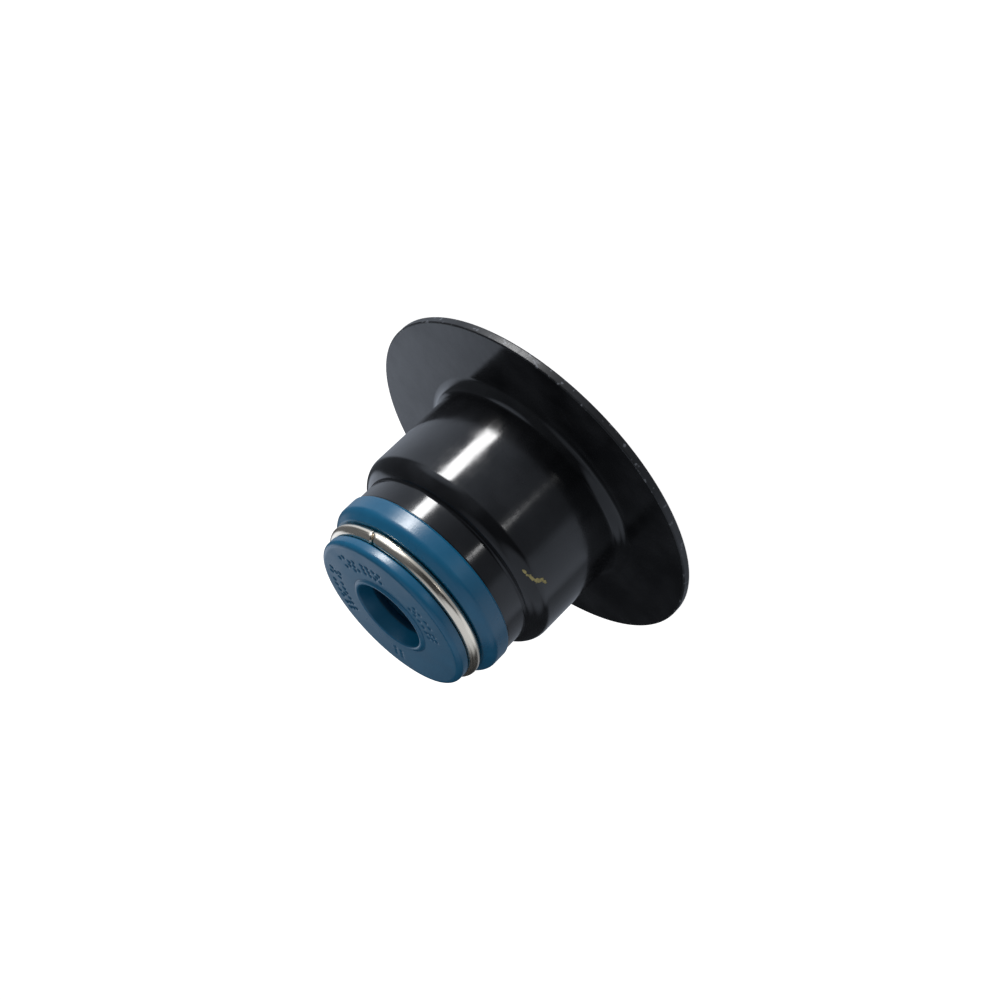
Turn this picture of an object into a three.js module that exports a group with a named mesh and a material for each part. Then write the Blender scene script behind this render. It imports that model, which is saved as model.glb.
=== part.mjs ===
// Valve stem seal: a drawn steel shell with a wide flange, a rubber seal moulded on its neck
// and a split wire ring in the seal's groove. Millimetres, +Z along the valve stem, the flange
// underside on z = 0 and the valve stem's axis on the Z axis.
import * as THREE from "three";

// Steel shell, one sheet drawn to shape
const SHEET = 0.9;          // sheet thickness
const FLANGE_R = 20.5;      // flange, which is the spring's seat
const DRUM_R = 12.22;       // outside of the drum
const BASE_FILLET = 0.9;    // outside radius where the drum leaves the flange
const SHOULDER_R = 2.0;     // outside radius of the drum's shoulder
const SHOULDER_Z = 11.85;   // height at which the shoulder starts
const NECK_R = 10.65;       // outside of the neck
const NECK_FILLET = 0.3;    // outside radius where the shoulder meets the neck
const LIP_Z = 17.4;         // top of the neck's inward lip
const LIP_R = 8.3;          // hole in the inward lip
const LIP_BEND = 0.2;       // inside radius of the lip's bend

// Valve guide and valve stem that the seal works on
const GUIDE_R = 6.9;        // bore that grips the guide
const STEM_R = 4.0;         // valve stem

// Rubber seal
const BOND = 0.05;          // glue line between rubber and steel
const BAND_R = 10.85;       // outside band, a little proud of the neck
const BAND_Z = 16.45;       // rear edge of the band
const BAND_EDGE = 0.2;      // rounding of the band's rear edge
const BAND_TAPER_Z = 18.6;  // height at which the band starts to taper
const BAND_FRONT_R = 10.15; // band's radius at the ring groove
const NOSE_R = 9.45;        // nose disc
const NOSE_Z = 22.3;        // flat face of the nose
const NOSE_ROUND = 0.75;    // rounding of the nose edge
const GROOVE_EDGE = 0.15;   // chamfer on both edges of the ring groove
const MOUTH_R = 4.15;       // bore at the face
const BEAD_OUT_R = 4.75;    // raised bead round the bore
const BEAD_H = 0.2;
const SCRAPER_PRESS = 0.15; // by how much each lip is smaller than the stem, in radius
const SCRAPER_Z = 20.85;    // the oil scraper, under the ring
const SECOND_PRESS = 0.05;
const SECOND_Z = 18.3;      // the second lip, over the guide's end
const LIP_EDGE = 0.12;      // width of each lip's edge
const LIP_SLOPE_H = 1.1;    // height of the scraper's inner slope, and of the second lip's
const RELIEF_R = 4.9;       // hollow between the lips
const GUIDE_STOP_Z = 17.2;  // face against which the guide ends
const SLEEVE_Z = 8.6;       // lower end of the rubber sleeve
const LEAD_IN = 0.45;       // chamfer at the sleeve's mouth
const GRIP_BEADS = 3;       // low rounded beads that grip the guide
const GRIP_BEAD_H = 0.22;
const GRIP_END = 0.6;       // plain bore left above and below the beads

// Split wire ring
const WIRE_R = 0.725;       // wire radius
const RING_R = 9.27;        // radius of the wire's centre line
const RING_Z = 20.17;       // height of the ring
const RING_PLAY = 0.05;     // room round the wire in its groove
const JOINT_ANGLE = 313.5;   // place of the joint round the axis, degrees from +X
const JOINT_GAP = 0.35;     // gap between the two ends
const JOINT_RISE = 0.14;    // by how much the ring's second end stands proud
const JOINT_RISE_SPAN = 14; // degrees over which it rises

const SEGMENTS = 72;
const WIRE_SIDES = 12;
const rad = THREE.MathUtils.degToRad;

// Points on an arc in the radius and height plane, angles in degrees from outwards to up.
function arc(r, z, radius, from, to, steps) {
  return Array.from({ length: steps + 1 }, (_, i) => {
    const a = rad(from + ((to - from) * i) / steps);
    return [r + radius * Math.cos(a), z + radius * Math.sin(a)];
  });
}

// A closed profile turned about the Z axis.
function turned(name, profile, material) {
  const points = [...profile, profile[0]].map(([r, z]) => new THREE.Vector2(r, z));
  const geometry = new THREE.LatheGeometry(points, SEGMENTS);
  geometry.rotateX(Math.PI / 2);
  const mesh = new THREE.Mesh(geometry, material);
  mesh.name = name;
  return mesh;
}

// The shell's outside and inside share their bend centres, so the sheet keeps one thickness.
function shellProfile() {
  const base = [DRUM_R + BASE_FILLET, SHEET + BASE_FILLET];
  const shoulder = [DRUM_R - SHOULDER_R, SHOULDER_Z];
  const neckR = NECK_R + NECK_FILLET;
  const reach = SHOULDER_R + NECK_FILLET;
  const drop = Math.asin((neckR - shoulder[0]) / reach);
  const neck = [neckR, SHOULDER_Z + reach * Math.cos(drop)];
  const turn = 90 - THREE.MathUtils.radToDeg(drop);
  const lip = [NECK_R - SHEET - LIP_BEND, LIP_Z - SHEET - LIP_BEND];
  return [
    [FLANGE_R, 0],
    [FLANGE_R, SHEET],
    ...arc(...base, BASE_FILLET, 270, 180, 3),
    ...arc(...shoulder, SHOULDER_R, 0, turn, 5),
    ...arc(...neck, NECK_FILLET, 180 + turn, 180, 1).slice(1),
    ...arc(...lip, SHEET + LIP_BEND, 0, 90, 3),
    [LIP_R, LIP_Z],
    [LIP_R, LIP_Z - SHEET],
    ...arc(...lip, LIP_BEND, 90, 0, 1),
    ...arc(...neck, SHEET + NECK_FILLET, 180, 180 + turn, 3),
    ...arc(...shoulder, SHOULDER_R - SHEET, turn, 0, 3).slice(1),
    ...arc(...base, SHEET + BASE_FILLET, 180, 270, 4),
  ];
}

// The seal wraps the neck's lip: band, ring groove and nose outside, sleeve and stem lips inside.
function sealProfile() {
  const bend = [NECK_R - SHEET - LIP_BEND, LIP_Z - SHEET - LIP_BEND];
  const bendR = SHEET + LIP_BEND + BOND;
  const deg = THREE.MathUtils.radToDeg;
  const wrapFrom = deg(Math.asin((LIP_Z - bend[1]) / bendR));
  const wrapTo = deg(Math.asin((BAND_Z - bend[1]) / bendR));
  const grooveR = WIRE_R + RING_PLAY;
  const sleeveR = NECK_R - SHEET - BOND;
  const grip = [];
  const gripTop = GUIDE_STOP_Z - GRIP_END;
  const gripEnd = SLEEVE_Z + LEAD_IN + GRIP_END;
  const steps = GRIP_BEADS * 4;
  for (let i = 0; i <= steps; i++) {
    const wave = (1 - Math.cos((2 * Math.PI * i) / 4)) / 2;
    grip.push([GUIDE_R - GRIP_BEAD_H * wave, gripTop + ((gripEnd - gripTop) * i) / steps]);
  }
  return [
    ...arc(...bend, bendR, wrapFrom, wrapTo, 3),
    [BAND_R - BAND_EDGE, BAND_Z],
    [BAND_R, BAND_Z + BAND_EDGE],
    [BAND_R, BAND_TAPER_Z],
    [BAND_FRONT_R, RING_Z - grooveR - GROOVE_EDGE],
    [BAND_FRONT_R - GROOVE_EDGE, RING_Z - grooveR],
    ...arc(RING_R, RING_Z, grooveR, 270, 90, 6),
    [NOSE_R - GROOVE_EDGE, RING_Z + grooveR],
    [NOSE_R, RING_Z + grooveR + GROOVE_EDGE],
    ...arc(NOSE_R - NOSE_ROUND, NOSE_Z - NOSE_ROUND, NOSE_ROUND, 0, 90, 3),
    [BEAD_OUT_R, NOSE_Z],
    [BEAD_OUT_R - BEAD_H, NOSE_Z + BEAD_H],
    [MOUTH_R + BEAD_H / 2, NOSE_Z + BEAD_H],
    [MOUTH_R, NOSE_Z + BEAD_H / 2],
    [MOUTH_R, NOSE_Z - NOSE_ROUND],
    [STEM_R - SCRAPER_PRESS, SCRAPER_Z + LIP_EDGE / 2],
    [STEM_R - SCRAPER_PRESS, SCRAPER_Z - LIP_EDGE / 2],
    [RELIEF_R, SCRAPER_Z - LIP_SLOPE_H],
    [RELIEF_R, SECOND_Z + LIP_SLOPE_H],
    [STEM_R - SECOND_PRESS, SECOND_Z + LIP_EDGE / 2],
    [STEM_R - SECOND_PRESS, SECOND_Z - LIP_EDGE / 2],
    [RELIEF_R, GUIDE_STOP_Z],
    [GUIDE_R, GUIDE_STOP_Z],
    ...grip,
    [GUIDE_R, SLEEVE_Z + LEAD_IN],
    [GUIDE_R + LEAD_IN, SLEEVE_Z],
    [sleeveR, SLEEVE_Z],
    [sleeveR, LIP_Z - SHEET - LIP_BEND],
    [sleeveR - LIP_BEND, LIP_Z - SHEET - BOND],
    [LIP_R - BOND, LIP_Z - SHEET - BOND],
    [LIP_R - BOND, LIP_Z],
  ];
}

// Centre line of the ring's wire, from one side of the joint round to the other.
class RingLine extends THREE.Curve {
  getPoint(t, target = new THREE.Vector3()) {
    const half = THREE.MathUtils.radToDeg(JOINT_GAP / RING_R) / 2;
    const turn = half + t * (360 - 2 * half);
    const near = THREE.MathUtils.smoothstep(turn, 360 - half - JOINT_RISE_SPAN, 360 - half);
    const r = RING_R + JOINT_RISE * near;
    const a = rad(JOINT_ANGLE + turn);
    return target.set(r * Math.cos(a), r * Math.sin(a), RING_Z);
  }
}

function wireRing(material) {
  const shape = new THREE.Shape(
    Array.from({ length: WIRE_SIDES }, (_, i) => {
      const a = (2 * Math.PI * (i + 0.5)) / WIRE_SIDES;
      return new THREE.Vector2(WIRE_R * Math.cos(a), WIRE_R * Math.sin(a));
    }),
  );
  const geometry = new THREE.ExtrudeGeometry(shape, {
    extrudePath: new RingLine(),
    steps: SEGMENTS,
    bevelEnabled: false,
  });
  const mesh = new THREE.Mesh(geometry, material);
  mesh.name = "wire_ring";
  return mesh;
}

const paint = new THREE.MeshStandardMaterial({ color: 0x101114, metalness: 0.2, roughness: 0.2 });
const rubber = new THREE.MeshStandardMaterial({ color: 0x1b6a93, metalness: 0, roughness: 0.5 });
const wire = new THREE.MeshStandardMaterial({ color: 0xc9c5bb, metalness: 1, roughness: 0.25 });

const group = new THREE.Group();
group.name = "valve_stem_seal";
group.add(turned("steel_shell", shellProfile(), paint));
group.add(turned("rubber_seal", sealProfile(), rubber));
group.add(wireRing(wire));

export default group;
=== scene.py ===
"""Valve stem seal: a drawn steel shell with a black gloss coating, a blue rubber seal moulded
on its neck, and a split wire ring in the seal's groove. The flange lies on the floor."""

import math

import bpy
import numpy as np
from mathutils import Matrix, Vector


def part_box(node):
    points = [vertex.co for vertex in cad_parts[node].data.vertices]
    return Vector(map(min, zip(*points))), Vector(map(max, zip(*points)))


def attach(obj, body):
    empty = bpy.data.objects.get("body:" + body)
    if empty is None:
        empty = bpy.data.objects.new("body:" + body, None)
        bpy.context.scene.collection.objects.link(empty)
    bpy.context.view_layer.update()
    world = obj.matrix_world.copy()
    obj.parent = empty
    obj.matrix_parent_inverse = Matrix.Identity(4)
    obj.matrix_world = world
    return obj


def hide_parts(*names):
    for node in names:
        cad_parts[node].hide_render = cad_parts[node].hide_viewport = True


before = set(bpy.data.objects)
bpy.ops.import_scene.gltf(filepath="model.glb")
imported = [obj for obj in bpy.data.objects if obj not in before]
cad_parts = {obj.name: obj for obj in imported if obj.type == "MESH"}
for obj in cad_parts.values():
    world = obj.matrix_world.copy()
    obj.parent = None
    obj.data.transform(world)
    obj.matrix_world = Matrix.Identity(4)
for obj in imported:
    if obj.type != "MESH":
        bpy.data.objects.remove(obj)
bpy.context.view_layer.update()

bl_info = {
    "name": "Valve stem seal",
    "version": (1, 0, 0),
    "blender": (4, 5, 0),
    "location": "3D View > Sidebar > Valve seal",
    "description": "Makes a valve stem seal and the small studio it stands in",
    "category": "Add Mesh",
}

MM = 0.001
SHELL_STEPS = 384
SEAL_STEPS = 448
RING_STEPS = 480
RING_SIDES = 32
FACE_RINGS = 38
GRIP_RINGS = 31
CAMERA_AIM = (0.000581, 0.000013, 0.004907)
SHELL_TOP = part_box("steel_shell")[1]
SEAL_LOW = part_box("rubber_seal")[0]


def size(name, description, value):
    """A length property; the value is in millimetres and is kept in metres."""
    return bpy.props.FloatProperty(
        name=name, description=description, default=value * MM, subtype="DISTANCE", unit="LENGTH",
        precision=5,
    )


def turn(name, description, value):
    """An angle property; the value is in degrees and is kept in radians."""
    return bpy.props.FloatProperty(
        name=name, description=description, default=math.radians(value), subtype="ANGLE",
        unit="ROTATION",
    )


def share(name, description, value, top=1.0):
    """A plain number from 0 to top."""
    return bpy.props.FloatProperty(name=name, description=description, default=value, min=0, max=top)


def colour(name, description, red, green, blue):
    """A colour property; the values are display values from 0 to 255 and are kept linear."""
    linear = [to_linear(v / 255) for v in (red, green, blue)]
    return bpy.props.FloatVectorProperty(
        name=name, description=description, default=linear, size=3, min=0, max=1, subtype="COLOR"
    )


def to_linear(v):
    """The light value of a display value, by the usual display curve."""
    return v / 12.92 if v <= 0.04045 else ((v + 0.055) / 1.055) ** 2.4


class ShellSettings(bpy.types.PropertyGroup):
    """Sizes of the drawn steel shell and the colours of its coating."""

    flange_r: size("Flange radius", "Outside of the flange", SHELL_TOP.x / MM)
    sheet: size("Sheet", "Thickness of the steel sheet", 0.9)
    drum_r: size("Drum radius", "Outside of the drum", 12.22)
    base_fillet: size("Base fillet", "Outside radius where the drum leaves the flange", 1.3)
    shoulder_r: size("Shoulder", "Outside radius of the drum's shoulder", 2.0)
    shoulder_z: size("Shoulder height", "Height at which the shoulder starts", 11.85)
    neck_r: size("Neck radius", "Outside of the neck", 10.65)
    neck_fillet: size("Neck fillet", "Outside radius where shoulder and neck meet", 0.3)
    lip_z: size("Lip height", "Top of the neck's inward lip", SHELL_TOP.z / MM)
    lip_r: size("Lip hole", "Radius of the hole in the lip", 8.3)
    lip_bend: size("Lip bend", "Inside radius of the lip's bend", 0.2)
    edge: size("Edge", "Rounding of the sheared edges", 0.16)
    coat: colour("Coating", "Black coating", 13, 14, 16)
    rub: colour("Rubbed edge", "Coating where it is rubbed thin", 46, 48, 52)
    fleck: colour("Fleck", "Dry residue on the shoulder", 178, 168, 118)


class SealSettings(bpy.types.PropertyGroup):
    """Sizes of the rubber seal and its colours."""

    bond: size("Bond", "Glue line between rubber and steel", 0.05)
    band_r: size("Band radius", "Outside band, a little proud of the neck", 10.85)
    band_z: size("Band height", "Rear edge of the band", 16.45)
    band_edge: size("Band edge", "Rounding of the band's rear edge", 0.2)
    taper_z: size("Taper height", "Height at which the band starts to taper", 18.6)
    crown: size("Crown", "How far below the taper its rounding starts", 0.45)
    front_r: size("Front radius", "Radius of the band at the ring groove", 10.15)
    nose_r: size("Nose radius", "Radius of the nose disc", 9.45)
    nose_z: size("Nose height", "Flat face of the nose", 22.3)
    nose_round: size("Nose rounding", "Rounding of the nose edge", 0.55)
    groove_edge: size("Groove edge", "Chamfer on the groove's edges", 0.15)
    mouth_r: size("Mouth", "Radius of the bore at the face", 4.15)
    bead_r: size("Bead", "Outside of the raised bead round the bore", 4.75)
    bead_h: size("Bead height", "Height of the bead", 0.2)
    scraper_r: size("Scraper", "Radius of the oil scraper lip", 3.85)
    scraper_z: size("Scraper height", "Height of the scraper's edge", 20.85)
    second_r: size("Second lip", "Radius of the second lip", 3.95)
    second_z: size("Second lip height", "Height of the second lip's edge", 18.3)
    lip_edge: size("Lip edge", "Width of each lip's edge", 0.12)
    lip_slope: size("Lip slope", "Height of each lip's inner slope", 1.1)
    relief_r: size("Relief", "Hollow between the lips", 4.9)
    guide_r: size("Guide bore", "Bore that grips the valve guide", 6.9)
    stop_z: size("Guide stop", "Face against which the guide ends", 17.2)
    sleeve_z: size("Sleeve end", "Lower end of the sleeve", SEAL_LOW.z / MM)
    lead_in: size("Lead-in", "Chamfer at the sleeve's mouth", 0.45)
    bead_grip: size("Grip bead", "Height of the beads that grip the guide", 0.22)
    grip_end: size("Grip end", "Plain bore above and below the beads", 0.6)
    mark_depth: size("Mark depth", "Depth of the mould marks on the face", 0.12)
    mark_wide: size("Mark pip", "Radius of a mark's pip", 0.19)
    rubber: colour("Rubber", "Blue rubber", 6, 77, 110)
    bloom: colour("Bloom", "Paler bloom on the rubber", 26, 96, 130)
    # Painted shade: a darker rubber colour laid into the recessed mould marks and round the bead's foot.
    painted_shade: colour("Shade", "Rubber in the mould marks", 8, 48, 76)


class RingSettings(bpy.types.PropertyGroup):
    """Sizes of the split wire ring and its steel."""

    wire_r: size("Wire radius", "Radius of the wire", 0.725)
    ring_r: size("Ring radius", "Radius of the wire's centre line", 9.27)
    ring_z: size("Ring height", "Height of the ring", 20.17)
    play: size("Play", "Room round the wire in its groove", 0.05)
    joint: turn("Joint", "Place of the joint round the axis", 313.5)
    gap: size("Gap", "Gap between the wire's ends", 0.35)
    rise: size("Rise", "How far one end stands proud", 0.14)
    rise_span: turn("Rise span", "Angle over which that end rises", 14)
    slant: size("Slant", "How far the joint slants along the ring", 0.2)
    burr: size("Burr", "Pointed burr on the proud end", 0.35)
    fade: size("End length", "Length over which the ends take their shape", 0.3)
    steel: colour("Steel", "Bright drawn wire", 240, 228, 208)


class StageSettings(bpy.types.PropertyGroup):
    """Floor, lamps and camera."""

    floor: colour("Floor", "Pale floor", 236, 236, 236)
    reach: size("Reach", "Half the width of the floor", 3000)
    lift: share("Lift", "How far the floor is lifted towards white for the camera", 0.75)
    world: share("World", "Light from all round", 0.4, 4)
    key: share("Key", "Power of the long lamp", 3.3, 100)
    top: share("Top", "Power of the soft lamp overhead", 1.3, 100)
    spot: share("Spot", "Power of the small second lamp", 0.06, 100)
    lens: bpy.props.FloatProperty(name="Lens", description="Focal length on a 36 mm sensor",
                                  default=66.68, subtype="DISTANCE_CAMERA")
    distance: size("Distance", "Camera to the point it looks at", 192.16)
    azimuth: turn("Azimuth", "Camera carried round the upright axis", -1.285)
    elevation: turn("Elevation", "Camera above the horizon", 23.28)
    roll: turn("Roll", "Camera turned about its own line of sight", -134.19)


GROUPS = {"shell": ShellSettings, "seal": SealSettings, "ring": RingSettings, "stage": StageSettings}


def settings(name):
    """The scene's property group of that name."""
    return getattr(bpy.context.scene, "valve_seal_" + name)


def arc(centre, radius, start, end, steps):
    """Points centre + radius (cos a, sin a), with a from start to end in degrees."""
    a = np.radians(np.linspace(start, end, steps + 1))
    return np.stack([centre[0] + radius * np.cos(a), centre[1] + radius * np.sin(a)], 1)


def curve(a, corner, b, steps):
    """Points (1-t)^2 a + 2t(1-t) corner + t^2 b; the ends and the corner may be whole arrays."""
    t = np.linspace(0, 1, steps + 1)[:, None]
    a, corner, b = (np.asarray(v, float)[..., None, :] for v in (a, corner, b))
    return (1 - t) ** 2 * a + 2 * t * (1 - t) * corner + t**2 * b


def softened(outline, reach, steps=4, least=25):
    """A closed outline whose sharp corners C are replaced by the curve
    (1-t)^2 A + 2t(1-t) C + t^2 B between points A and B, reach away from C on both edges."""
    back = np.roll(outline, 1, 0) - outline
    ahead = np.roll(outline, -1, 0) - outline
    back_long = np.linalg.norm(back, axis=1, keepdims=True)
    ahead_long = np.linalg.norm(ahead, axis=1, keepdims=True)
    cosine = np.sum(back * ahead, 1) / (back_long * ahead_long)[:, 0]
    sharp = cosine > -math.cos(math.radians(least))
    a = outline + back / back_long * np.minimum(reach, back_long / 2.5)
    b = outline + ahead / ahead_long * np.minimum(reach, ahead_long / 2.5)
    bends = curve(a, outline, b, steps)
    return np.concatenate([bends[i] if sharp[i] else outline[i:i + 1] for i in range(len(outline))])


def filled(outline, longest, support):
    """A closed outline with points added on its long straight edges: one at support from each
    end, and even ones between, so that smooth shading keeps the flats flat."""
    pieces = []
    for start, end in zip(outline, np.roll(outline, -1, 0)):
        span = np.linalg.norm(end - start)
        if span < longest / 2:
            stops = np.array([0.0])
        else:
            inner = np.linspace(support, span - support, max(2, int(span / longest) + 1))
            stops = np.concatenate([[0.0], inner / span])
        pieces.append(start + stops[:, None] * (end - start))
    return np.concatenate(pieces)


def grid_object(name, points):
    """Mesh object over a grid of points closed in both directions: the corner (i, j) has its
    quad to (i+1, j), (i+1, j+1) and (i, j+1)."""
    rows, columns = points.shape[:2]
    index = np.arange(rows * columns).reshape(rows, columns)
    right = np.roll(index, -1, 0)
    quads = np.stack([index, right, np.roll(right, -1, 1), np.roll(index, -1, 1)], -1)
    return mesh_object(name, points.reshape(-1, 3), quads.reshape(-1, 4))


def mesh_object(name, vertices, quads, caps=()):
    """A smooth shaded object at the origin from vertices, quads and a few larger faces."""
    mesh = bpy.data.meshes.new(name)
    if len(caps):
        mesh.from_pydata(vertices, [], quads.tolist() + [list(c) for c in caps])
    else:
        mesh.vertices.add(len(vertices))
        mesh.vertices.foreach_set("co", vertices.astype(np.float32).ravel())
        mesh.loops.add(quads.size)
        mesh.loops.foreach_set("vertex_index", quads.astype(np.int32).ravel())
        mesh.polygons.add(len(quads))
        mesh.polygons.foreach_set("loop_start", np.arange(0, quads.size, 4, dtype=np.int32))
    mesh.update(calc_edges=True)
    mesh.validate()
    mesh.shade_smooth()
    made = bpy.data.objects.new(name, mesh)
    bpy.context.scene.collection.objects.link(made)
    return made


def turned(outline, count):
    """Grid of an outline (r, z) carried round the Z axis: (r cos a, r sin a, z)."""
    a = np.linspace(0, 2 * np.pi, count, endpoint=False)
    r, z = outline[:, 0], outline[:, 1]
    return np.stack([np.outer(np.cos(a), r), np.outer(np.sin(a), r), np.tile(z, (count, 1))], -1)


def shell_outline(p):
    """Outside of the sheet from the flange up to the lip's hole, then its inside back down;
    both share their bend centres, so the sheet keeps one thickness."""
    base = (p.drum_r + p.base_fillet, p.sheet + p.base_fillet)
    shoulder = (p.drum_r - p.shoulder_r, p.shoulder_z)
    neck_r = p.neck_r + p.neck_fillet
    reach = p.shoulder_r + p.neck_fillet
    drop = math.asin((neck_r - shoulder[0]) / reach)
    neck = (neck_r, p.shoulder_z + reach * math.cos(drop))
    bend = 90 - math.degrees(drop)
    lip = (p.neck_r - p.sheet - p.lip_bend, p.lip_z - p.sheet - p.lip_bend)
    outline = np.concatenate([
        [(p.flange_r, 0), (p.flange_r, p.sheet)],
        arc(base, p.base_fillet, 270, 180, 14),
        arc(shoulder, p.shoulder_r, 0, bend, 20),
        arc(neck, p.neck_fillet, 180 + bend, 180, 8)[1:],
        arc(lip, p.sheet + p.lip_bend, 0, 90, 12),
        [(p.lip_r, p.lip_z), (p.lip_r, p.lip_z - p.sheet)],
        arc(lip, p.lip_bend, 90, 0, 6),
        arc(neck, p.sheet + p.neck_fillet, 180, 180 + bend, 10),
        arc(shoulder, p.shoulder_r - p.sheet, bend, 0, 10)[1:],
        arc(base, p.sheet + p.base_fillet, 180, 270, 14),
    ])
    return filled(softened(outline, p.edge), 1 * MM, 0.06 * MM)


def seal_outline(p, shell, ring):
    """The seal wraps the neck's lip: band, ring groove and nose outside, stem lips and guide
    sleeve inside."""
    bend = (shell.neck_r - shell.sheet - shell.lip_bend, shell.lip_z - shell.sheet - shell.lip_bend)
    bend_r = shell.sheet + shell.lip_bend + p.bond
    wrap_from = math.degrees(math.asin((shell.lip_z - bend[1]) / bend_r))
    wrap_to = math.degrees(math.asin((p.band_z - bend[1]) / bend_r))
    groove_r = ring.wire_r + ring.play
    sleeve_r = shell.neck_r - shell.sheet - p.bond
    lip_low = shell.lip_z - shell.sheet
    grip_top = p.stop_z - p.grip_end
    grip_low = p.sleeve_z + p.lead_in + p.grip_end
    along = np.linspace(0, 1, GRIP_RINGS)
    wave = (1 - np.cos(6 * np.pi * along)) / 2
    grip = np.stack([p.guide_r - p.bead_grip * wave, grip_top + (grip_low - grip_top) * along], 1)
    taper_end = np.array([p.front_r, ring.ring_z - groove_r - p.groove_edge])
    taper_top = np.array([p.band_r, p.taper_z])
    crown_end = taper_top + 0.6 * (taper_end - taper_top)
    crown = np.concatenate([curve(taper_top - (0, p.crown), taper_top, crown_end, 8), [taper_end]])
    face = np.linspace(p.nose_r - p.nose_round, p.bead_r + 0.05 * MM, FACE_RINGS)
    front = softened(np.concatenate([
        arc(bend, bend_r, wrap_from, wrap_to, 8),
        [(p.band_r - p.band_edge, p.band_z), (p.band_r, p.band_z + p.band_edge)],
        crown,
        [(p.front_r - p.groove_edge, ring.ring_z - groove_r)],
        arc((ring.ring_r, ring.ring_z), groove_r, 270, 90, 16),
        [(p.nose_r - p.groove_edge, ring.ring_z + groove_r),
         (p.nose_r, ring.ring_z + groove_r + p.groove_edge)],
        arc((p.nose_r - p.nose_round, p.nose_z - p.nose_round), p.nose_round, 0, 90, 10),
        [(p.bead_r, p.nose_z), (p.bead_r - p.bead_h, p.nose_z + p.bead_h),
         (p.mouth_r + p.bead_h / 2, p.nose_z + p.bead_h), (p.mouth_r, p.nose_z + p.bead_h / 2),
         (p.scraper_r, p.scraper_z + p.lip_edge / 2), (p.scraper_r, p.scraper_z - p.lip_edge / 2),
         (p.relief_r, p.scraper_z - p.lip_slope), (p.relief_r, p.second_z + p.lip_slope),
         (p.second_r, p.second_z + p.lip_edge / 2), (p.second_r, p.second_z - p.lip_edge / 2),
         (p.relief_r, p.stop_z), (p.guide_r, p.stop_z)],
        grip,
        [(p.guide_r, p.sleeve_z + p.lead_in), (p.guide_r + p.lead_in, p.sleeve_z),
         (sleeve_r, p.sleeve_z), (sleeve_r, lip_low - shell.lip_bend),
         (sleeve_r - shell.lip_bend, lip_low - p.bond),
         (shell.lip_r - p.bond, lip_low - p.bond), (shell.lip_r - p.bond, shell.lip_z)],
    ]), 0.07 * MM, 2)
    outline = filled(front, 1.6 * MM, 0.05 * MM)
    low = np.flatnonzero(np.isclose(outline[:, 1], p.nose_z, atol=1e-7))
    flat = low[(outline[low, 0] < p.nose_r - p.nose_round + 1e-7) & (outline[low, 0] > p.bead_r)]
    first, last = flat.min(), flat.max()
    face_points = np.stack([face, np.full_like(face, p.nose_z)], 1)
    return np.concatenate([outline[:first], face_points, outline[last + 1:]])


# Places of each pattern's pips in millimetres, then where the patterns stand on the face: angle round
# the axis, radius in millimetres, which pattern, and share of the full depth.
PATTERNS = (
    ((-0.4, -0.55), (0.4, -0.55), (-0.4, 0.0), (0.4, 0.0), (-0.4, 0.55), (0.4, 0.55)),
    ((-0.4, -0.55), (0.4, -0.55), (0.0, 0.0), (-0.4, 0.55), (0.4, 0.55)),
    ((-0.4, -0.55), (0.4, -0.55), (-0.4, 0.55), (0.4, 0.55)),
)
MARKS = (
    (63, 7.3, 0, 1.0), (50, 7.2, 1, 1.0), (38, 7.3, 2, 1.0), (22, 7.4, 1, 1.0),
    (-13, 7.1, 2, 1.0), (-23.5, 6.5, 1, 1.0), (-41, 6.4, 0, 1.0), (-55, 6.3, 1, 1.0),
    (227, 6.3, 0, 0.6), (243, 6.4, 2, 0.6), (258, 6.3, 1, 0.6), (121, 6.9, 0, 0.35),
)


def mark_depths(points, p):
    """How deep the flat face is pressed in at each point, from 0 to 1. Each mark is a pattern of
    round pips like those of a die, x round the axis and y away from it in millimetres, and the
    depth falls off by the smooth step 3t^2 - 2t^3 of the distance to the nearest pip."""
    x, y, z = (points[..., k] for k in range(3))
    radial = np.hypot(x, y)
    face = (abs(z - p.nose_z) < 1e-6) & (radial > p.bead_r) & (radial < p.nose_r - p.nose_round)
    depth = np.zeros_like(radial)
    slope = 0.06 * MM
    for place, far, pattern, part in MARKS:
        a = math.radians(place)
        across = y * math.cos(a) - x * math.sin(a)
        out = x * math.cos(a) + y * math.sin(a) - far * MM
        for x0, y0 in np.array(PATTERNS[pattern]) * MM:
            off = np.hypot(across - x0, out - y0)
            t = np.clip((p.mark_wide + slope - off) / (2 * slope), 0, 1)
            depth = np.maximum(depth, part * t * t * (3 - 2 * t))
    return np.where(face, depth, 0)


def ring_path(p, count):
    """The wire's centre line (R cos a, R sin a) from one side of the joint round to the other,
    and R grows smoothly by the rise over the last span of its turn."""
    half = p.gap / p.ring_r / 2
    turned_by = np.linspace(half, 2 * np.pi - half, count)
    near = np.clip((turned_by - (2 * np.pi - half - p.rise_span)) / p.rise_span, 0, 1)
    radius = p.ring_r + p.rise * near * near * (3 - 2 * near)
    return p.joint + turned_by, radius


def paint(obj, material, body, slot, *nodes):
    """Gives the piece its material, lets it ride, and hides the parts it stands for."""
    obj.data.materials.append(material)
    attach(obj, body)
    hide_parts(*nodes)


def node(tree, kind, inputs=None, **attributes):
    """Adds a shader node; an input's value is a number, a colour or another node's socket."""
    made = tree.nodes.new(kind)
    for name, value in attributes.items():
        setattr(made, name, value)
    for name, value in (inputs or {}).items():
        if isinstance(value, bpy.types.NodeSocket):
            tree.links.new(value, made.inputs[name])
        else:
            made.inputs[name].default_value = value
    return made


def math_node(tree, operation, *values):
    """The result of a math operation on numbers or sockets."""
    return node(tree, "ShaderNodeMath", dict(enumerate(values)), operation=operation).outputs[0]


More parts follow.
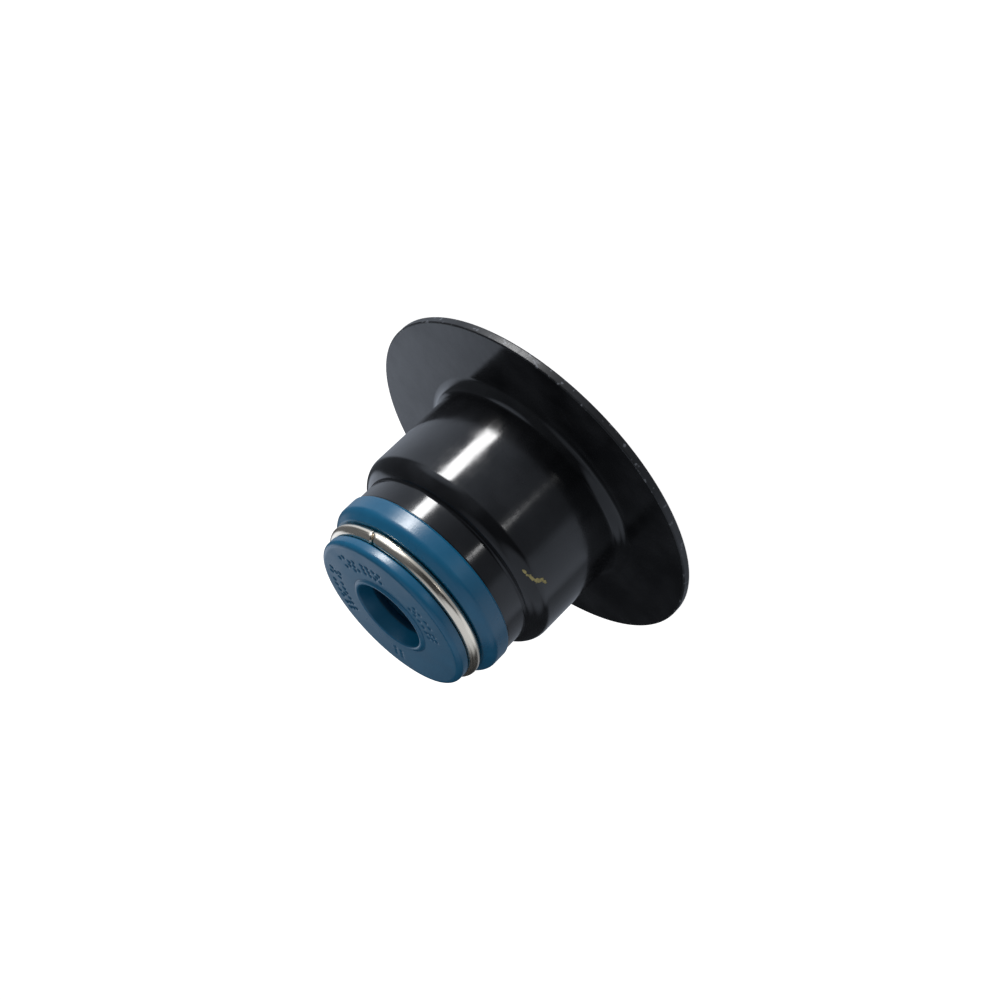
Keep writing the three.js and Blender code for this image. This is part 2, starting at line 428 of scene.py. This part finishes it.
def stepped(tree, value, low, high, out_low=0.0, out_high=1.0):
    """A smooth step from out_low to out_high as the value goes from low to high."""
    inputs = {"Value": value, "From Min": low, "From Max": high, "To Min": out_low,
              "To Max": out_high}
    return node(tree, "ShaderNodeMapRange", inputs, interpolation_type="SMOOTHSTEP").outputs[0]


def mixed(tree, factor, a, b):
    """Colour a where the factor is 0, and b where it is 1."""
    made = tree.nodes.new("ShaderNodeMix")
    made.data_type = "RGBA"
    for slot, value in ((0, factor), (6, a), (7, b)):
        if isinstance(value, bpy.types.NodeSocket):
            tree.links.new(value, made.inputs[slot])
        else:
            made.inputs[slot].default_value = value if slot == 0 else (*value[:3], 1)
    return made.outputs[2]


def noise(tree, coordinates, scale, detail=3.0, stretch=None, roughness=0.5):
    """Noise on Object coordinates; scale is in cycles a metre."""
    if stretch is not None:
        coordinates = node(tree, "ShaderNodeMapping", {"Vector": coordinates, "Scale": stretch}).outputs[0]
    inputs = {"Vector": coordinates, "Scale": scale, "Detail": detail, "Roughness": roughness}
    return node(tree, "ShaderNodeTexNoise", inputs).outputs["Fac"]


def bumped(tree, height, distance, normal=None):
    """A bump whose height 1 stands for the distance in metres."""
    inputs = {"Height": height, "Distance": distance, "Strength": 1.0}
    if normal is not None:
        inputs["Normal"] = normal
    return node(tree, "ShaderNodeBump", inputs).outputs[0]


def new_material(name):
    """A material with nodes: its tree, its Principled shader and Object coordinates."""
    made = bpy.data.materials.new(name)
    made.use_nodes = True
    tree = made.node_tree
    shader = tree.nodes["Principled BSDF"]
    place = tree.nodes.new("ShaderNodeTexCoord").outputs["Object"]
    return made, tree, shader, place


def to_line(tree, place, a, b):
    """Distance of the place from the straight line between a and b: t = (P-A).(B-A) / |B-A|^2 is
    held between 0 and 1, and the distance is |(P-A) - t (B-A)|."""
    span = Vector(b) - Vector(a)
    local = node(tree, "ShaderNodeVectorMath", {0: place, 1: a}, operation="SUBTRACT").outputs[0]
    along = node(tree, "ShaderNodeVectorMath", {0: local, 1: tuple(span / span.length_squared)},
                 operation="DOT_PRODUCT").outputs["Value"]
    held = node(tree, "ShaderNodeClamp", {"Value": along}).outputs[0]
    foot = node(tree, "ShaderNodeVectorMath", {0: tuple(span), "Scale": held},
                operation="SCALE").outputs[0]
    return node(tree, "ShaderNodeVectorMath", {0: local, 1: foot},
                operation="DISTANCE").outputs["Value"]


# Corners of the fleck: angle round the axis, radius, height and half width in millimetres.
FLECK = (
    (241.8, 11.95, 12.86, 0.04), (237.0, 12.07, 12.60, 0.12), (233.5, 12.18, 12.23, 0.24),
    (231.5, 12.22, 11.75, 0.22), (227.5, 12.22, 11.28, 0.05),
)


def fleck_mask(tree, place):
    """1 on the dry fleck: a crooked line of short lengths, thick in its middle, with a torn edge."""
    corners = [(r * MM * math.cos(math.radians(a)), r * MM * math.sin(math.radians(a)), z * MM)
               for a, r, z, wide in FLECK]
    torn = stepped(tree, noise(tree, place, 2400, 3.0), 0.3, 0.7, -0.12 * MM, 0.12 * MM)
    mask = 0.0
    for i, (a, b) in enumerate(zip(corners, corners[1:])):
        wide = min(FLECK[i][3], FLECK[i + 1][3]) * MM
        away = math_node(tree, "ADD", to_line(tree, place, a, b), torn)
        part = stepped(tree, away, wide, wide + 0.06 * MM, 1, 0)
        mask = math_node(tree, "MAXIMUM", part, mask)
    return mask


def black_coating(p):
    """Smooth black coating with a faint orange peel, draw marks, a worn rim and a dry fleck."""
    made, tree, shader, place = new_material("black coating")
    peel = noise(tree, place, 900, 2.0)
    draw = noise(tree, place, 2600, 2.0, (1, 1, 0.04))
    cloud = noise(tree, place, 180, 3.0)
    smear = noise(tree, place, 420, 4.0)
    flat = node(tree, "ShaderNodeVectorMath", {0: place, 1: (1, 1, 0)}, operation="MULTIPLY").outputs[0]
    radial = node(tree, "ShaderNodeVectorMath", {0: flat}, operation="LENGTH").outputs["Value"]
    rim = stepped(tree, radial, p.flange_r - 0.25 * MM, p.flange_r - 0.1 * MM)
    chips = math_node(tree, "MULTIPLY", rim, stepped(tree, noise(tree, place, 1500, 4.0), 0.6, 0.66))
    fleck = fleck_mask(tree, place)
    coat = mixed(tree, stepped(tree, cloud, 0.35, 0.75, 0, 0.35), p.coat, p.rub)
    coat = mixed(tree, chips, coat, [3 * v for v in p.rub])
    stain = mixed(tree, noise(tree, place, 3000, 3.0), p.fleck, [0.3 * v for v in p.fleck])
    tree.links.new(mixed(tree, fleck, coat, stain), shader.inputs["Base Color"])
    rough = math_node(tree, "ADD", stepped(tree, smear, 0.3, 0.8, 0.12, 0.2),
                      stepped(tree, draw, 0.55, 0.75, 0, 0.05))
    rough = math_node(tree, "ADD", rough, math_node(tree, "MULTIPLY", rim, 0.25))
    rough = math_node(tree, "MAXIMUM", rough, math_node(tree, "MULTIPLY", fleck, 0.8))
    tree.links.new(rough, shader.inputs["Roughness"])
    shader.inputs["IOR"].default_value = 1.4
    skin = bumped(tree, peel, 0.004 * MM)
    skin = bumped(tree, draw, 0.0008 * MM, skin)
    tree.links.new(bumped(tree, fleck, 0.03 * MM, skin), shader.inputs["Normal"])
    return made


def blue_rubber(p):
    """Satin moulded rubber with a faint bloom, a fine grain, and painted shade in the recessed mould marks
    and round the bead's foot.
    """
    made, tree, shader, place = new_material("blue rubber")
    cloud = noise(tree, place, 260, 4.0)
    grain = noise(tree, place, 5200, 3.0)
    # Painted shade: this point attribute darkens the rubber towards the shade colour in the mould marks
    # and round the bead's foot.
    mark = node(tree, "ShaderNodeAttribute", attribute_name="painted_mark_shade").outputs["Fac"]
    tone = mixed(tree, stepped(tree, cloud, 0.4, 0.75, 0, 0.35), p.rubber, p.bloom)
    tree.links.new(mixed(tree, mark, tone, p.painted_shade), shader.inputs["Base Color"])
    rough = math_node(tree, "ADD", stepped(tree, cloud, 0.3, 0.7, 0.27, 0.36),
                      math_node(tree, "MULTIPLY", mark, 0.3))
    tree.links.new(rough, shader.inputs["Roughness"])
    tree.links.new(bumped(tree, grain, 0.006 * MM), shader.inputs["Normal"])
    return made


def bright_wire(p):
    """Bright drawn steel wire with fine lines along it."""
    made, tree, shader, place = new_material("bright wire")
    cloud = noise(tree, place, 500, 3.0)
    lines = noise(tree, place, 9000, 2.0, (0.05, 0.05, 1))
    shader.inputs["Metallic"].default_value = 1.0
    tree.links.new(mixed(tree, stepped(tree, cloud, 0.3, 0.7, 0, 0.3), p.steel,
                         [v * 0.85 for v in p.steel]), shader.inputs["Base Color"])
    tree.links.new(stepped(tree, lines, 0.3, 0.7, 0.17, 0.28), shader.inputs["Roughness"])
    tree.links.new(bumped(tree, lines, 0.004 * MM), shader.inputs["Normal"])
    return made


class VALVE_OT_shell(bpy.types.Operator):
    """Makes the drawn steel shell with its black coating"""

    bl_idname = "valve_seal.shell"
    bl_label = "Steel shell"

    def execute(self, context):
        p = settings("shell")
        shell = grid_object("shell_body", turned(shell_outline(p), SHELL_STEPS))
        paint(shell, black_coating(p), "root", "shell_paint", "steel_shell")
        return {"FINISHED"}


class VALVE_OT_seal(bpy.types.Operator):
    """Makes the moulded rubber seal"""

    bl_idname = "valve_seal.seal"
    bl_label = "Rubber seal"

    def execute(self, context):
        p = settings("seal")
        outline = seal_outline(p, settings("shell"), settings("ring"))
        points = turned(outline, SEAL_STEPS)
        depth = mark_depths(points, p)
        points[..., 2] -= depth * p.mark_depth
        radial, z = np.hypot(points[..., 0], points[..., 1]), points[..., 2]
        # Painted shade: the marks' depth and a ring round the bead's foot go into a point attribute that
        # darkens the rubber there.
        foot = (abs(z - p.nose_z) < 1e-6) & (radial < p.bead_r + 0.1 * MM)
        seal = grid_object("seal_body", points)
        mark = seal.data.attributes.new("painted_mark_shade", "FLOAT", "POINT")
        shaded = np.maximum(depth, 0.6 * foot).astype(np.float32)
        mark.data.foreach_set("value", shaded.ravel())
        paint(seal, blue_rubber(p), "root", "seal_rubber", "rubber_seal")
        return {"FINISHED"}


class VALVE_OT_ring(bpy.types.Operator):
    """Makes the split wire ring"""

    bl_idname = "valve_seal.ring"
    bl_label = "Wire ring"

    def execute(self, context):
        p = settings("ring")
        a, radius = ring_path(p, RING_STEPS)
        s = np.linspace(0, 2 * np.pi, RING_SIDES, endpoint=False)
        from_start = (a - a[0]) * p.ring_r
        from_end = (a[-1] - a) * p.ring_r
        ends = np.exp(-np.minimum(from_start, from_end) / p.fade)[:, None]
        proud = np.exp(-from_end / p.fade)[:, None] * np.clip(np.cos(s + math.radians(15)), 0, 1) ** 8
        near = np.clip(np.minimum(from_start, from_end) / p.fade, 0, 1)
        wire = p.wire_r * (0.82 + 0.18 * np.sqrt(1 - (1 - near) ** 2))[:, None]
        turned_to = a[:, None] + (proud * p.burr - ends * p.slant * np.sin(s)) / p.ring_r
        r = radius[:, None] + wire * np.cos(s) + 0.1 * p.burr * proud
        z = p.ring_z + wire * np.sin(s)
        points = np.stack([r * np.cos(turned_to), r * np.sin(turned_to), z], -1)
        index = np.arange(RING_STEPS * RING_SIDES).reshape(RING_STEPS, RING_SIDES)
        quads = np.stack([index[:-1], index[1:], np.roll(index[1:], -1, 1),
                          np.roll(index[:-1], -1, 1)], -1).reshape(-1, 4)
        caps = [index[0], index[-1][::-1]]
        ring = mesh_object("ring_wire", points.reshape(-1, 3), quads, caps)
        paint(ring, bright_wire(p), "root", "ring_steel", "wire_ring")
        return {"FINISHED"}


def lamp(name, direction, distance, width, height, power, aim=(0, 0, 0.01)):
    """A soft rectangular lamp in that direction from the aim point, facing it."""
    data = bpy.data.lights.new(name, "AREA")
    data.shape = "RECTANGLE"
    data.size = width
    data.size_y = height
    data.energy = power
    made = bpy.data.objects.new(name, data)
    made.location = Vector(aim) + Vector(direction).normalized() * distance
    made.rotation_euler = Vector(direction).to_track_quat("Z", "Y").to_euler()
    bpy.context.scene.collection.objects.link(made)
    return made


def direction_of(azimuth, elevation):
    """Unit vector from azimuth and elevation in degrees."""
    a, e = math.radians(azimuth), math.radians(elevation)
    return (math.cos(a) * math.cos(e), math.sin(a) * math.cos(e), math.sin(e))


# Soft bright fields that gloss mirrors: azimuth and elevation in degrees, the angles from there
# within which a field is full and beyond which it is gone, and its strength.
GLOW = [
    (150, 62, 20, 34, 0.66),
    (-165, 28, 28, 46, 0.68),
    (-170, -20, 18, 34, 0.8),
    (-130, 78, 8, 30, 0.4),
    (75, 16, 9, 20, 1.15),
    (-27, -8, 5, 34, 1.1),
]


def studio_world(p):
    """World that gives even light, a white background to the camera, and soft light and dark
    fields to gloss."""
    world = bpy.data.worlds.new("studio")
    bpy.context.scene.world = world
    world.use_nodes = True
    tree = world.node_tree
    tree.nodes.clear()
    out = tree.nodes.new("ShaderNodeOutputWorld")
    way = tree.nodes.new("ShaderNodeTexCoord").outputs["Generated"]
    axes = node(tree, "ShaderNodeSeparateXYZ", {0: way}).outputs
    low = math_node(tree, "MULTIPLY", stepped(tree, axes["Z"], -0.36, -0.16, 1, 0),
                    stepped(tree, axes["X"], 0.1, 0.9, 0.3, 0.85))
    level = math_node(tree, "MAXIMUM", low, stepped(tree, axes["X"], 0.1, 0.5, 0.03, 0.13))
    for azimuth, elevation, inner, outer, strength in GLOW:
        toward = node(tree, "ShaderNodeVectorMath", {0: way, 1: direction_of(azimuth, elevation)},
                      operation="DOT_PRODUCT").outputs["Value"]
        glow = stepped(tree, toward, math.cos(math.radians(outer)), math.cos(math.radians(inner)),
                       0, strength)
        level = math_node(tree, "MAXIMUM", glow, level)
    path = tree.nodes.new("ShaderNodeLightPath")
    gloss = math_node(tree, "MAXIMUM", path.outputs["Is Glossy Ray"],
                      path.outputs["Is Transmission Ray"])
    seen = node(tree, "ShaderNodeMix", {0: gloss, 2: p.world, 3: level}).outputs[0]
    seen = node(tree, "ShaderNodeMix", {0: path.outputs["Is Camera Ray"], 2: seen, 3: 1.0}).outputs[0]
    tint = mixed(tree, gloss, (1, 1, 1), (0.88, 0.97, 1.13))
    background = node(tree, "ShaderNodeBackground", {"Color": tint, "Strength": seen})
    tree.links.new(background.outputs[0], out.inputs[0])


def pale_floor(p):
    """Pale floor: matt, lifted towards white for the camera, and open from below."""
    made, tree, shader, _ = new_material("pale floor")
    shader.inputs["Base Color"].default_value = (*p.floor, 1)
    shader.inputs["Roughness"].default_value = 0.9
    shader.inputs["Specular IOR Level"].default_value = 0.0
    path = tree.nodes.new("ShaderNodeLightPath")
    tree.links.new(math_node(tree, "MULTIPLY", path.outputs["Is Camera Ray"], p.lift),
                   shader.inputs["Emission Strength"])
    shader.inputs["Emission Color"].default_value = (1, 1, 1, 1)
    back = tree.nodes.new("ShaderNodeNewGeometry").outputs["Backfacing"]
    open_below = tree.nodes.new("ShaderNodeBsdfTransparent").outputs[0]
    mix = node(tree, "ShaderNodeMixShader", {0: back, 1: shader.outputs[0], 2: open_below})
    tree.links.new(mix.outputs[0], tree.nodes["Material Output"].inputs["Surface"])
    return made


class VALVE_OT_stage(bpy.types.Operator):
    """Makes the floor, the lamps, the world and the camera"""

    bl_idname = "valve_seal.stage"
    bl_label = "Stage"

    def execute(self, context):
        p = settings("stage")
        corners = p.reach * np.array([(-1, -1, 0), (1, -1, 0), (1, 1, 0), (-1, 1, 0)], float)
        floor = mesh_object("floor", corners, np.array([[0, 1, 2, 3]]))
        floor.data.materials.append(pale_floor(p))
        floor.visible_glossy = False
        floor.visible_shadow = False
        lamp("key lamp", direction_of(-30, -21.5), 0.6, 0.14, 0.2, p.key)
        overhead = lamp("overhead lamp", (0.2, -0.3, 1), 0.7, 0.6, 0.6, p.top)
        overhead.visible_glossy = False
        lamp("small lamp", direction_of(-104, -20.4), 0.6, 0.035, 0.02, p.spot)
        studio_world(p)
        self.add_camera(context, p)
        return {"FINISHED"}

    def add_camera(self, context, p):
        """Camera on the -Y side, above the horizon, rolled about its line of sight."""
        data = bpy.data.cameras.new("camera")
        data.lens = p.lens
        data.sensor_width = 36
        data.clip_start = 0.01
        camera = bpy.data.objects.new("camera", data)
        ahead = Vector((math.sin(p.azimuth) * math.cos(p.elevation),
                        math.cos(p.azimuth) * math.cos(p.elevation), -math.sin(p.elevation)))
        level = Vector((math.cos(p.azimuth), -math.sin(p.azimuth), 0))
        above = level.cross(ahead)
        right = level * math.cos(p.roll) + above * math.sin(p.roll)
        up = right.cross(ahead)
        basis = Matrix((right, up, -ahead)).transposed().to_4x4()
        basis.translation = Vector(CAMERA_AIM) - ahead * p.distance
        camera.matrix_world = basis
        context.scene.collection.objects.link(camera)
        context.scene.camera = camera
        context.scene.view_settings.view_transform = "Standard"


class VALVE_PT_panel(bpy.types.Panel):
    """Lists the pieces and the stage"""

    bl_idname = "VALVE_PT_panel"
    bl_label = "Valve stem seal"
    bl_space_type = "VIEW_3D"
    bl_region_type = "UI"
    bl_category = "Valve seal"

    def draw(self, context):
        for operator in OPERATORS:
            self.layout.operator(operator.bl_idname)
        for name in GROUPS:
            box = self.layout.box()
            box.label(text=name.capitalize())
            for prop in GROUPS[name].__annotations__:
                box.prop(settings(name), prop)


OPERATORS = (VALVE_OT_shell, VALVE_OT_seal, VALVE_OT_ring, VALVE_OT_stage)
CLASSES = (*GROUPS.values(), *OPERATORS, VALVE_PT_panel)


def register():
    for cls in CLASSES:
        bpy.utils.register_class(cls)
    for name, group in GROUPS.items():
        setattr(bpy.types.Scene, "valve_seal_" + name, bpy.props.PointerProperty(type=group))


def unregister():
    for name in GROUPS:
        delattr(bpy.types.Scene, "valve_seal_" + name)
    for cls in reversed(CLASSES):
        bpy.utils.unregister_class(cls)


def main():
    """Makes the pieces and the stage."""
    register()
    bpy.ops.valve_seal.shell()
    bpy.ops.valve_seal.seal()
    bpy.ops.valve_seal.ring()
    bpy.ops.valve_seal.stage()


if __name__ == "__main__":
    main()
